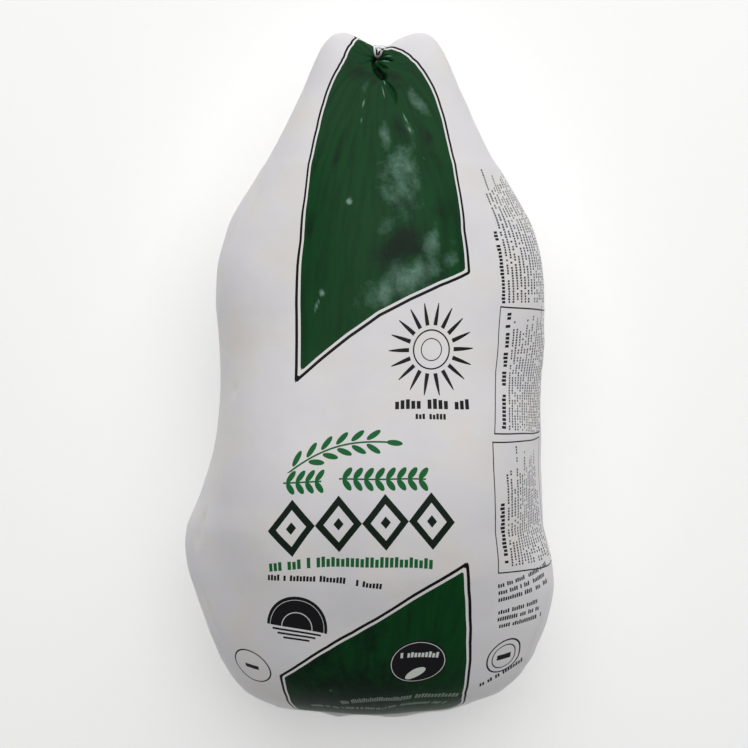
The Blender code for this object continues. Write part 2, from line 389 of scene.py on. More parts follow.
def skinPoint(grid, u, v):
    # the skin's place for bag millimetres u, v, in mm
    row = np.interp(v / (breastLength * 1000), along, np.arange(len(along)))
    column = np.interp((u / (girth * 1000)) % 1.0, np.append(across, 1.0), np.arange(len(across) + 1))
    r, c = min(int(row), len(along) - 2), int(column) % len(across)
    a, b = row - r, column - int(column)
    near = grid[r, c] * (1 - b) + grid[r, (c + 1) % len(across)] * b
    far = grid[r + 1, c] * (1 - b) + grid[r + 1, (c + 1) % len(across)] * b
    return (near * (1 - a) + far * a) * 1000


# the two green panels: corners and bends of their outer edge, in bag mm
hiddenEdge = ((100.0, 344.0), (92.0, 349.5), (80.0, 352.8), (65.0, 354.7), (45.0, 355.8), (20.0, 356.6))
panels = {
    "upper": (
        (-228, 3.0), (-216, 7.4), (-204, 9.6), (-195, 10.3), (-186.5, 10.7), (-178, 11.4), (-170, 12.6),
        (-164, 14.2), (-159, 15.0), (-155, 13.7), (-150, 13.6), (-140, 13.4), (-126.9, 13.2), (-105.7, 14.5),
        (-91.0, 15.7), (-83.2, 17.3), (-77.8, 19.6), (-74.6, 22.6), (-71.8, 26.0), (-68.4, 29.7),
        (-63.9, 34.2), (-60.1, 39.5), (-56.9, 44.9), (-54.8, 51.6), (-53.0, 57.8), (-51.2, 64.4),
        (-49.1, 71.0), (-47.1, 77.7), (-43.2, 98.0), (-42.3, 118.4), (-41.4, 142.0), (-40.5, 164.9),
        (-27.5, 154.0), (-12.1, 142.3), (3.0, 132.2), (18.8, 125.3), (34.7, 119.3), (51.5, 114.5),
        (51.9, 94.7), (55.2, 80.4), (56.3, 73.9), (57.2, 68.5), (58.6, 62.6), (60.0, 57.1), (61.6, 51.6),
        (63.5, 47.6), (66.0, 43.5), (69.0, 38.2), (72.2, 34.2), (75.2, 30.0), (77.4, 25.2), (80.4, 20.3),
        (87.0, 16.0), (100.7, 12.4), (117.4, 9.4), (128.2, 8.0), (142.0, 6.6), (151.9, 5.0), (171.6, 4.6),
        (180.0, 4.2), (203.0, 3.6), (220, 2.8), (228, 2.2),
    ),
    "lower": (
        (46.8, 244.6), (48.8, 258.7), (52.0, 270.7), (56.3, 282.4), (61.9, 291.8), (66.1, 300.7),
        (69.3, 308.0), (70.3, 310.1), (72.4, 312.2), (73.7, 313.7), (76.9, 315.1), (79.2, 315.8),
        (86.7, 318.7), (102.0, 329.0), (104.5, 336.0),
        *hiddenEdge, (0.0, 356.8), *((-u, v) for u, v in reversed(hiddenEdge)),  # behind the sealed lip
        (-103.0, 337.5), (-96.0, 331.0), (-79.6, 323.6), (-67.5, 314.6), (-62.0, 306.0), (-59.7, 301.0),
        (-50.0, 298.9), (-40.7, 296.3), (-24.8, 290.9), (-10.0, 284.1), (2.8, 276.7), (14.6, 268.9),
        (25.3, 261.0), (36.1, 252.8),
    ),
    "open": {"upper": True, "lower": False},  # the upper panel's sides both run into the gather
    "keyline": 1.55,  # black line round each panel, then a strip of bare film
    "bareGap": 1.4,
    "leastShrink": 0.66,  # both narrow with the film towards the gather, but not below this share
    "step": 4,  # the edge follows the skin in steps of about this length
}


# where the green ink looks frosted, partly painted highlight, and where the film clings wet and dark, partly
# painted shade: softSpots' numbers
filmWear = {
    # frost, and painted highlight: the soft box's reflection on the green film and small glints
    "frost": (
        (14, 116, 25, 9, -22, 0.9), (15, 66, 19, 22, 0, 0.62), (30, 99, 5, 11, 20, 0.75),
        (40, 105, 7, 6, -40, 0.6), (17, 57, 13, 11, 0, 0.85), (6, 42, 6, 9, 10, 0.7),
        (49, 29, 11, 7, 60, 0.85), (-26, 15, 11, 5, 20, 0.45), (12, 74, 15, 10, 0, 0.5),
        (30, 40, 4, 14, 0, 0.5), (4, 88, 14, 7, -20, 0.4), (-20, 30, 18, 10, 0, 0.28),
        # painted highlights where wrinkles catch the light, and rubbed specks
        (-16.8, 77.2, 1.6, 1.4, 0, 2.2), (-27.4, 121.5, 1.3, 1.6, 0, 1.9), (-30.3, 128.1, 0.7, 4.0, 25, 1.3),
        (-18.8, 24.4, 0.9, 1.8, 0, 1.8), (-17.2, 33.3, 0.9, 1.5, 0, 1.5), (9, 17.6, 0.8, 2.6, -12, 2.2),
        (16.2, 13.3, 1.0, 1.6, 30, 2.4), (28.9, 33.7, 0.55, 2.4, -14, 2.6), (29.3, 39.9, 0.7, 1.2, 0, 2.4),
        (34.5, 55.8, 0.7, 0.8, 0, 1.7), (-32, 316, 1.6, 0.8, 0, 1.6),
    ),
    # film clinging wet and dark, and painted shade: the lower panel darker towards the bottom, and beside
    # the cleft at the gather
    "wet": (
        (13.5, 99, 14, 8, -25, 1.5), (-31, 51, 3.2, 13, 3, 1.0), (43, 51, 5, 15, -4, 0.95),
        (19, 38, 7, 8, 0, 0.8), (15, 79, 10, 3, -8, 0.8), (-37.4, 91, 2.2, 8, 4, 0.9),
        (40, 84, 9, 7, 0, 0.6), (-38, 9.5, 26, 3.4, 0, 0.8), (24, 46, 6, 5, -40, 0.6),
        (-30, 24, 2.0, 10, 0, 0.5), (38, 17, 18, 3.5, 12, 0.55), (38, 10.5, 16, 4.5, 0, 1.0),
        (-60, 11.5, 36, 5.5, 0, 0.8), (-14, 12.0, 14, 2.6, 0, 0.7), (-14, 322, 90, 25, -4, 1.15),
        (-38, 300, 34, 11, -22, 1.0), (-2, 288, 16, 9, -25, 0.8),
    ),
    "foldRidges": 1.15,  # pale paint on the ridges at the gather: painted highlight and stretched ink
    "driftSize": 9,  # noise that pushes the spots' outlines about, and one that breaks them up
    "rippleSize": 5,
}


def panelEdge(grid, corners, isOpen):
    # mm from the panel's outer edge, above 0 inside it
    outline = np.array(corners, float)
    closed = outline if isOpen else np.vstack([outline, outline[:1]])
    dense = []
    for start, end in zip(closed, closed[1:]):
        pieces = max(2, int(np.abs(end - start).max() / panels["step"]))
        dense += [start + (end - start) * k / pieces for k in range(pieces)]
    dense.append(closed[-1])
    path = [skinPoint(grid, *place) for place in dense]
    gap, _ = pathDistance(grid.reshape(-1, 3) * 1000, path)
    if isOpen:  # closed beyond the gather
        outline = np.vstack([outline, [[outline[-1][0], -1], [outline[0][0], -1]]])
    uMm, vMm = bagPlaces()
    inside = np.zeros(len(uMm), bool)
    for (u0, v0), (u1, v1) in zip(outline, np.roll(outline, -1, axis=0)):
        if v0 != v1:
            crossing = (v0 > vMm) != (v1 > vMm)
            inside ^= crossing & (uMm < (u1 - u0) * (vMm - v0) / (v1 - v0) + u0)
    rowGirth = np.linalg.norm(np.roll(grid, -1, axis=1) - grid, axis=2).sum(axis=1)
    shrink = np.clip(rowGirth / girth, panels["leastShrink"], 1)
    return np.where(inside, gap, -gap).reshape(grid.shape[:2]) / shrink[:, None]


def skinObject(name, grid, fields):
    rows, columns = grid.shape[0] - 1, grid.shape[1]
    points = np.vstack([grid[0, :1], grid[1:-1].reshape(-1, 3), grid[-1, :1]])
    last = len(points) - 1
    faces, flat = [], []
    for j in range(rows):
        base = 1 + (j - 1) * columns
        for i in range(columns):
            n = (i + 1) % columns
            uLeft = across[i] if across[i] < 0.5 else across[i] - 1
            uRight = across[n] if n else 1.0
            uRight = uRight if across[i] < 0.5 else uRight - 1
            top, low = along[j], along[j + 1]
            if j == 0:
                faces.append((0, 1 + i, 1 + n))
                flat += [((uLeft + uRight) / 2, top), (uLeft, low), (uRight, low)]
            elif j == rows - 1:
                faces.append((base + i, last, base + n))
                flat += [(uLeft, top), ((uLeft + uRight) / 2, low), (uRight, top)]
            else:
                faces.append((base + i, base + columns + i, base + columns + n, base + n))
                flat += [(uLeft, top), (uLeft, low), (uRight, low), (uRight, top)]
    mesh = bpy.data.meshes.new(name)
    mesh.from_pydata(points.tolist(), [], faces)
    layer = mesh.uv_layers.new(name="bagMillimetres")
    scale = np.array([girth * 1000, breastLength * 1000])
    layer.data.foreach_set("uv", (np.array(flat) * scale).astype(np.float32).ravel())
    for field, values in fields.items():
        attribute = mesh.attributes.new(field, "FLOAT", "POINT")
        column = np.concatenate([values[0, :1], values[1:-1].ravel(), values[-1, :1]])
        attribute.data.foreach_set("value", column.astype(np.float32))
    mesh.polygons.foreach_set("use_smooth", [True] * len(mesh.polygons))
    mesh.update()
    skin = bpy.data.objects.new(name, mesh)
    bpy.context.scene.collection.objects.link(skin)
    return skin


grid, across, along, girth, breastLength = skinGrid(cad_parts["duck_in_film"])
grid, foldDepth, ridgeSheenAndStretch = addRelief(spanHollows(spanHollows(fitShape(grid))))
fields = {}
for name in ("upper", "lower"):
    fields[name + "PanelEdge"] = panelEdge(grid, panels[name], panels["open"][name])
# painted shade in the grooves at the gather
fields["foldDepth"] = foldDepth
# frost patches with painted highlights, and the pale ridges at the gather
fields["frost"] = np.maximum(softSpots(grid, filmWear["frost"]), filmWear["foldRidges"] * ridgeSheenAndStretch)
# wet patches and painted shade
fields["wet"] = softSpots(grid, filmWear["wet"])
skin = skinObject("printed_shrink_skin", grid, fields)
print("skin laid: girth", round(girth * 1000, 1), "mm, breast line", round(breastLength * 1000, 1), "mm")


# print: flat inks on the film, drawn in bag mm: u round the bag from the breast line, v down from the gather
def ownAxes(tree, bagMap, middle, turn=0.0, size=(1.0, 1.0), lean=0.0):
    # bag mm seen from a mark's own middle, turned clockwise with it and counted in its own sizes;
    # lean turns the second axis further, where the shrunk film has pulled the print askew
    own = addNode(tree, "ShaderNodeVectorMath", {0: bagMap, 1: (*middle, 0)}, operation="SUBTRACT")
    first, second = math.radians(turn), math.radians(turn + lean)
    rowWay = (math.cos(first) / size[0], math.sin(first) / size[0], 0)
    downWay = (-math.sin(second) / size[1], math.cos(second) / size[1], 0)
    alongRow = addNode(tree, "ShaderNodeVectorMath", {0: own, 1: rowWay}, operation="DOT_PRODUCT")
    downRows = addNode(tree, "ShaderNodeVectorMath", {0: own, 1: downWay}, operation="DOT_PRODUCT")
    return (alongRow, "Value"), (downRows, "Value")


def allOf(tree, masks):
    # where every mask prints
    product = masks[0]
    for mask in masks[1:]:
        product = addNode(tree, "ShaderNodeMath", {0: product, 1: mask}, operation="MULTIPLY")
    return product


def within(tree, *limits):
    # each limit: a value, its middle and how far from it the mask reaches
    return allOf(tree, [addNode(tree, "ShaderNodeMath", dict(enumerate(limit)), operation="COMPARE")
                        for limit in limits])


def plate(tree, bagMap, middle, half, turn=0.0):
    # a filled box
    x, y = ownAxes(tree, bagMap, middle, turn, half)
    return within(tree, (x, 0.0, 1.0), (y, 0.0, 1.0))


def ruledBox(tree, bagMap, middle, half, line, turn=0.0, lean=0.0, narrowed=0.0):
    # narrowed: the share of its height that the side further round the bag has lost
    x, y = ownAxes(tree, bagMap, middle, turn, half, lean)
    if narrowed:
        spread = addNode(tree, "ShaderNodeMath", {0: x, 1: narrowed, 2: 1.0}, operation="MULTIPLY_ADD")
        y = addNode(tree, "ShaderNodeMath", {0: y, 1: spread}, operation="MULTIPLY")
    outer = within(tree, (x, 0.0, 1.0), (y, 0.0, 1.0))
    inner = within(tree, (x, 0.0, 1.0 - line / half[0]), (y, 0.0, 1.0 - line / half[1]))
    return addNode(tree, "ShaderNodeMath", {0: outer, 1: inner}, operation="SUBTRACT")


def reachOf(tree, x, y):
    # square of the distance from the middle
    xSquare = addNode(tree, "ShaderNodeMath", {0: x, 1: x}, operation="MULTIPLY")
    return addNode(tree, "ShaderNodeMath", {0: y, 1: y, 2: xSquare}, operation="MULTIPLY_ADD")


def disc(tree, bagMap, middle, half, turn=0.0, lowest=1.0):
    # an oval, cut straight below lowest
    x, y = ownAxes(tree, bagMap, middle, turn, half)
    inside = addNode(tree, "ShaderNodeMath", {0: reachOf(tree, x, y), 1: 1.0}, operation="LESS_THAN")
    if lowest >= 1.0:
        return inside
    return allOf(tree, [inside, addNode(tree, "ShaderNodeMath", {0: y, 1: lowest}, operation="LESS_THAN")])


def ring(tree, bagMap, middle, half, line, turn=0.0, lowest=1.0):
    # an oval line, cut straight below lowest
    x, y = ownAxes(tree, bagMap, middle, turn, half)
    outline = within(tree, (reachOf(tree, x, y), 1.0, 2 * line / (half[0] + half[1])))
    if lowest >= 1.0:
        return outline
    return allOf(tree, [outline, addNode(tree, "ShaderNodeMath", {0: y, 1: lowest}, operation="LESS_THAN")])


def barRows(tree, bagMap, start, length, pitch, bar, rows=1, turn=0.0, lean=0.0, fill=0.5, gaps=0.17,
            ragged=0.0):
    # rows of short bars that stand for small printed lines; start is the first row's corner, fill how much
    # of the pitch they take up, gaps the share left out, ragged how much shorter a row may be
    x, y = ownAxes(tree, bagMap, start, turn, (bar, pitch), lean)
    column = addNode(tree, "ShaderNodeMath", {0: x}, operation="FLOOR")
    row = addNode(tree, "ShaderNodeMath", {0: y}, operation="FLOOR")
    ownRow = addNode(tree, "ShaderNodeMath", {0: row, 1: start[0]}, operation="ADD")  # no two blocks alike
    cell = addNode(tree, "ShaderNodeMath", {0: ownRow, 1: 57.31, 2: column}, operation="MULTIPLY_ADD")
    chance = addNode(tree, "ShaderNodeTexWhiteNoise", {"W": cell}, noise_dimensions="1D")
    printed = addNode(tree, "ShaderNodeMath", {0: chance, 1: gaps}, operation="GREATER_THAN")
    tall = addNode(tree, "ShaderNodeMath", {0: chance, 1: fill * 0.16, 2: fill * 0.32},
                   operation="MULTIPLY_ADD")
    inX = addNode(tree, "ShaderNodeMath", {0: x}, operation="FRACT")
    inY = addNode(tree, "ShaderNodeMath", {0: y}, operation="FRACT")
    standing = addNode(tree, "ShaderNodeMath", {0: 0.5 + 0.46 * fill, 1: tall}, operation="SUBTRACT")
    stroke = within(tree, (inX, 0.5, 0.36), (inY, standing, tall))
    halfLength = length / bar / 2
    if ragged:
        rowChance = addNode(tree, "ShaderNodeTexWhiteNoise", {"W": ownRow}, noise_dimensions="1D")
        halfLength = addNode(tree, "ShaderNodeMath", {0: rowChance, 1: -ragged * halfLength, 2: halfLength},
                             operation="MULTIPLY_ADD")
    inBlock = within(tree, (column, halfLength, halfLength), (y, rows / 2, rows / 2))
    return allOf(tree, [printed, stroke, inBlock])


def garland(tree, bagMap, middle, length, pitch, half, turn=0.0):
    # pairs of leaves along a thin stalk, like a laurel
    x, y = ownAxes(tree, bagMap, middle, turn)
    side = addNode(tree, "ShaderNodeMath", {0: y}, operation="ABSOLUTE")
    slanted = addNode(tree, "ShaderNodeMath", {0: side, 1: -0.55, 2: x}, operation="MULTIPLY_ADD")
    inPitch = addNode(tree, "ShaderNodeMath", {0: slanted, 1: pitch}, operation="PINGPONG")
    overLeaf = addNode(tree, "ShaderNodeMath", {0: inPitch, 1: 1 / half[0], 2: -pitch / 2 / half[0]},
                       operation="MULTIPLY_ADD")
    outwards = addNode(tree, "ShaderNodeMath", {0: side, 1: 2 / half[1], 2: -1.0}, operation="MULTIPLY_ADD")
    reach = reachOf(tree, overLeaf, outwards)
    leaf = addNode(tree, "ShaderNodeMath", {0: reach, 1: 1.0}, operation="LESS_THAN")
    stalk = within(tree, (y, 0.0, 0.4))
    both = addNode(tree, "ShaderNodeMath", {0: leaf, 1: stalk}, operation="MAXIMUM")
    return allOf(tree, [both, within(tree, (slanted, 0.0, length / 2))])


def lozenges(tree, bagMap, middle, count, half, line, heart, turn=0.0):
    # linked lozenges, each with a small one in it; line and heart are shares of the half height
    x, y = ownAxes(tree, bagMap, middle, turn)
    start = addNode(tree, "ShaderNodeMath", {0: x, 1: count * half[0]}, operation="ADD")
    saw = addNode(tree, "ShaderNodeMath", {0: start, 1: half[0]}, operation="PINGPONG")
    side = addNode(tree, "ShaderNodeMath", {0: saw, 1: -1 / half[0], 2: 1.0}, operation="MULTIPLY_ADD")
    upright = addNode(tree, "ShaderNodeMath", {0: y}, operation="ABSOLUTE")
    reach = addNode(tree, "ShaderNodeMath", {0: upright, 1: 1 / half[1], 2: side}, operation="MULTIPLY_ADD")
    outline = within(tree, (reach, 1.0 - line / 2, line / 2))
    core = addNode(tree, "ShaderNodeMath", {0: reach, 1: heart}, operation="LESS_THAN")
    both = addNode(tree, "ShaderNodeMath", {0: outline, 1: core}, operation="MAXIMUM")
    return allOf(tree, [both, within(tree, (x, 0.0, count * half[0]))])


def sunRays(tree, bagMap, middle, count, near, far, halfWidth):
    # straight rays that narrow outwards
    x, y = ownAxes(tree, bagMap, middle)
    square = reachOf(tree, x, y)
    reach = addNode(tree, "ShaderNodeMath", {0: square}, operation="SQRT")
    angle = addNode(tree, "ShaderNodeMath", {0: y, 1: x}, operation="ARCTAN2")
    turned = addNode(tree, "ShaderNodeMath", {0: angle, 1: math.pi / count}, operation="PINGPONG")
    width = addNode(tree, "ShaderNodeMapRange", {"Value": reach, "From Min": near, "From Max": far,
                    "To Min": halfWidth / near, "To Max": 0.2 * halfWidth / far})
    ray = addNode(tree, "ShaderNodeMath", {0: turned, 1: width}, operation="LESS_THAN")
    return allOf(tree, [ray, within(tree, (reach, (near + far) / 2, (far - near) / 2))])


twig = {
    "middle": (1.6, 260.2),
    "bend": 69.0,  # radius of its arc
    "turn": -14.6,
    "leaf": (3.9, 1.35),
    "lean": 32,
    "off": 3.2,
    "root": -17.0,  # degrees along the arc of the lowest leaf, from pair to pair, and of the tip
    "step": 6.2,
    "pairs": 5,
    "tip": 22.5,
}


def twigLeaves():
    # a single leaf at the root, then pairs along the arc, and one leaf at the tip
    places = [(twig["root"], 1)]
    for k in range(1, twig["pairs"] + 1):
        places += [(twig["root"] + twig["step"] * k, side) for side in (1, -1)]
    places.append((twig["tip"], 0))
    leaves = []
    for alongArc, side in places:
        turn = twig["turn"] + alongArc
        reach = twig["bend"] + side * twig["off"]
        u = twig["middle"][0] + reach * math.sin(math.radians(turn))
        v = twig["middle"][1] - reach * math.cos(math.radians(turn))
        leaves.append((disc, {"middle": (u, v), "half": twig["leaf"], "turn": turn - side * twig["lean"]}))
    return leaves


sun = (29.5, 148.5)
halfBadge = {"middle": (-38.6, 279.6), "turn": 18.0, "lowest": 0.0}
lowBadge = {"middle": (30.5, 299.5), "turn": -9.0}
inks = (
    ("lamp black", "#1d1c1f", (
        # a sun with two rows under it
        (sunRays, {"middle": sun, "count": 18, "near": 11.5, "far": 22.0, "halfWidth": 1.0}),
        (ring, {"middle": sun, "half": (9.2, 9.2), "line": 0.75}),
        (ring, {"middle": sun, "half": (5.2, 5.2), "line": 0.5}),
        (barRows, {"start": (8.0, 170.6), "length": 38, "pitch": 7.0, "bar": 2.7, "fill": 0.7}),
        (barRows, {"start": (21, 177.8), "length": 15, "pitch": 4.0, "bar": 1.7, "fill": 0.7}),
        (barRows, {"start": (-48.8, 250.2), "length": 55, "pitch": 4.4, "bar": 1.6, "turn": 7.5,
                   "fill": 0.75}),
        # badges
        (disc, dict(halfBadge, half=(16.4, 16.4))),
        (plate, {"middle": (-39.1, 281.1), "half": (13.2, 0.5), "turn": 18.0}),
        (plate, {"middle": (-39.7, 283.0), "half": (10.4, 0.5), "turn": 18.0}),
        (plate, {"middle": (-40.3, 284.9), "half": (7.2, 0.5), "turn": 18.0}),
        (disc, dict(lowBadge, half=(17.5, 12.0))),
        (ring, {"middle": (-74.8, 293.6), "half": (11.6, 8.4), "line": 0.75, "turn": 20}),
        (plate, {"middle": (-74.8, 293.6), "half": (4.4, 1.0), "turn": 20}),
        # small print down the right flank
        (barRows, {"start": (69.5, 131), "length": 31, "pitch": 3.4, "bar": 1.5, "turn": -78, "lean": -12,
                   "fill": 0.8}),
        (barRows, {"start": (73.6, 131.6), "length": 60, "rows": 13, "pitch": 2.9, "bar": 1.1, "turn": -78,
                   "lean": -12, "ragged": 0.3}),
        (ruledBox, {"middle": (91.9, 164.6), "half": (27, 26.2), "line": 0.6, "turn": 8, "lean": 2,
                    "narrowed": 0.075}),
        (barRows, {"start": (66, 186.0), "length": 50, "pitch": 4.4, "bar": 1.7, "turn": -82, "fill": 0.8}),
        (barRows, {"start": (71.4, 187), "length": 51, "rows": 17, "pitch": 2.6, "bar": 1.1, "turn": -82,
                   "ragged": 0.2}),
        (ruledBox, {"middle": (88.7, 220.6), "half": (27, 27.6), "line": 0.6, "turn": -3, "lean": 3.5,
                    "narrowed": 0.06}),
        (barRows, {"start": (66.5, 247), "length": 29, "pitch": 4.2, "bar": 1.7, "turn": -94, "fill": 0.8}),
        (barRows, {"start": (71.6, 246.5), "length": 53, "rows": 15, "pitch": 2.8, "bar": 1.2, "turn": -94,
                   "ragged": 0.55}),
        (barRows, {"start": (63.4, 254), "length": 43, "rows": 3, "pitch": 3.3, "bar": 1.5, "turn": -13.5,
                   "fill": 0.62, "ragged": 0.3}),
        (barRows, {"start": (66.6, 266), "length": 34, "rows": 3, "pitch": 3.3, "bar": 1.5, "turn": -13.5,
                   "fill": 0.62, "ragged": 0.3}),
        (ring, {"middle": (82.3, 286.6), "half": (10.8, 8.2), "line": 0.85, "turn": -20}),
        (ring, {"middle": (82.3, 286.6), "half": (7.6, 5.8), "line": 0.6, "turn": -20}),
        (plate, {"middle": (82.3, 286.6), "half": (4.6, 1.3), "turn": -20}),
        (barRows, {"start": (74.0, 302.6), "length": 28, "pitch": 4.0, "bar": 1.7, "turn": -38,
                   "fill": 0.7}),
        # the side that the bag lies on
        (ruledBox, {"middle": (-178.0, 196.0), "half": (34, 46), "line": 0.5}),
        (barRows, {"start": (-208, 239), "length": 84, "rows": 20, "pitch": 3.0, "bar": 1.3, "turn": -90,
                   "ragged": 0.3}),
    )),
    ("leaf green", "#1d6b38", (
        (garland, {"middle": (-33.0, 209.6), "length": 18.4, "pitch": 4.6, "half": (1.6, 5.4)}),
        (garland, {"middle": (5.4, 208.6), "length": 41.6, "pitch": 5.2, "half": (1.75, 5.4)}),
        (barRows, {"start": (-48, 244.2), "length": 77, "pitch": 6.4, "bar": 2.3, "turn": 0.5, "fill": 0.85,
                   "gaps": 0.12}),
        (ring, {"middle": twig["middle"], "half": (twig["bend"], twig["bend"]), "line": 0.85,
                "turn": twig["turn"], "lowest": -0.925}),
        *twigLeaves(),
    )),
    ("bottle green", "#17261c", (
        (lozenges, {"middle": (-3.6, 229.2), "count": 4, "half": (11.0, 13.4), "line": 0.36, "heart": 0.22,
                    "turn": -2.4}),
    )),
    ("bare film", "#dfe4df", (
        (ring, dict(halfBadge, half=(14.6, 14.6), line=0.3)),
        (ring, dict(halfBadge, half=(8.2, 8.2), line=0.5)),
        (ring, dict(lowBadge, half=(16.4, 10.9), line=0.4)),
        (barRows, {"start": (18.6, 294.6), "length": 23, "pitch": 4.4, "bar": 2.1, "turn": -9, "fill": 0.75,
                   "gaps": 0.1}),
        (disc, {"middle": (31.4, 305.6), "half": (6.6, 2.5), "turn": -32}),
    )),
    ("sunk grey", "#7d8c80", (
        (barRows, {"start": (-31, 324.0), "length": 60, "pitch": 5.2, "bar": 2.2, "turn": -3.3, "fill": 0.7,
                   "gaps": 0.1}),
        (barRows, {"start": (30, 320.2), "length": 37, "pitch": 5.2, "bar": 2.2, "turn": -15.9, "fill": 0.7,
                   "gaps": 0.1}),
        (barRows, {"start": (-60, 323.4), "length": 24, "pitch": 4.4, "bar": 1.9, "turn": 16, "fill": 0.62}),
        (barRows, {"start": (-35, 329.8), "length": 52, "pitch": 4.4, "bar": 1.9, "turn": 1.8,
                   "fill": 0.62}),
        (barRows, {"start": (19, 330.6), "length": 48, "pitch": 4.4, "bar": 1.9, "turn": -15, "fill": 0.62}),
    )),
)


def inkMask(tree, bagMap, marks):
    # every mark joins the mask at once, which keeps the shader's memory small
    mask = None
    for shape, facts in marks:
        mark = shape(tree, bagMap, **facts)
        if mask:
            mark = addNode(tree, "ShaderNodeMath", {0: mask, 1: mark}, operation="MAXIMUM")
        mask = mark
    return mask


# film: white low-density polyethylene, blown and shrunk, with flexo inks that lie in its surface
filmLook = {
    "white": "#eeeced",
    "lilac": "#eae8ec",
    "warm": "#eeeae6",
    "green": "#0b431d",
    # frosted green, also the colour of the painted highlights on the green ink
    "greenFrostAndSheen": "#769a8b",
    # dark green of wet film and of painted shade, also the colour of the streaks
    "greenWetAndShade": "#0a1a12",
    "keyline": "#131313",
    # painted shade: near-black for the deep grooves at the gather
    "paintedFoldShade": "#030504",
    "roughness": 0.46,
    "specular": 0.13,  # the slip additive in bag film keeps its gloss low
    "ior": 1.51,
    "mottleSize": 26.0,  # mm, like the sizes below
    "frostGrain": 1.8,  # ice and air under the film are finer, drawn coarser so that they show
    "frostPatch": 9.1,
    "frostFrom": (0.45, 2.2),  # frost times grain: where it starts to show, and where it covers
    "wetFrom": (0.33, 1.67),
    "wetMost": 0.85,
    "streakSize": (5.0, 33.3),  # round and down the bag, along which the green ink is streaked
    "streakMost": 0.45,
    "crinkleSize": 1.3,  # the real film's crinkle is about 0.3 mm, drawn coarser so that it shows
    "crinkleHeight": 0.03,
}


def layered(tree, colour, covers):
    # each cover is a colour, and the mask that lets it hide what lies below
    for cover, mask in covers:
        mixed = addNode(tree, "ShaderNodeMix", {0: mask, 6: colour, 7: cover}, data_type="RGBA")
        colour = (mixed, 2)
    return colour


def filmMaterial(name, bare=False):
    # blown white film: its pigment hides the meat, its satin skin has a soft sheen that a crinkle breaks up
    material = bpy.data.materials.new(name)
    material.use_nodes = True
    tree = material.node_tree
    shader = tree.nodes["Principled BSDF"]
    look = filmLook
    solid = (addNode(tree, "ShaderNodeTexCoord"), "Object")
    clouds = addNode(tree, "ShaderNodeTexNoise",
                     {"Vector": solid, "Scale": 1000 / look["mottleSize"], "Detail": 3.0})
    lilacPart = addNode(tree, "ShaderNodeMapRange", {"Value": clouds, "From Min": 0.45, "From Max": 0.7})
    warmPart = addNode(tree, "ShaderNodeMapRange", {"Value": clouds, "From Min": 0.5, "From Max": 0.3})
    tints = ((linear(look["lilac"]), lilacPart), (linear(look["warm"]), warmPart))
    colour = layered(tree, linear(look["white"]), tints)
    if not bare:
        colour = printOn(tree, colour, solid)
    tree.links.new(colour[0].outputs[colour[1]], shader.inputs["Base Color"])
    shader.inputs["Roughness"].default_value = look["roughness"]
    shader.inputs["Specular IOR Level"].default_value = look["specular"]
    shader.inputs["IOR"].default_value = look["ior"]
    crinkle = addNode(tree, "ShaderNodeTexNoise",
                      {"Vector": solid, "Scale": 1000 / look["crinkleSize"], "Detail": 4.0})
    bump = addNode(tree, "ShaderNodeBump",
                   {"Height": crinkle, "Distance": look["crinkleHeight"] / 1000, "Strength": 1.0})
    tree.links.new(bump.outputs["Normal"], shader.inputs["Normal"])
    return material


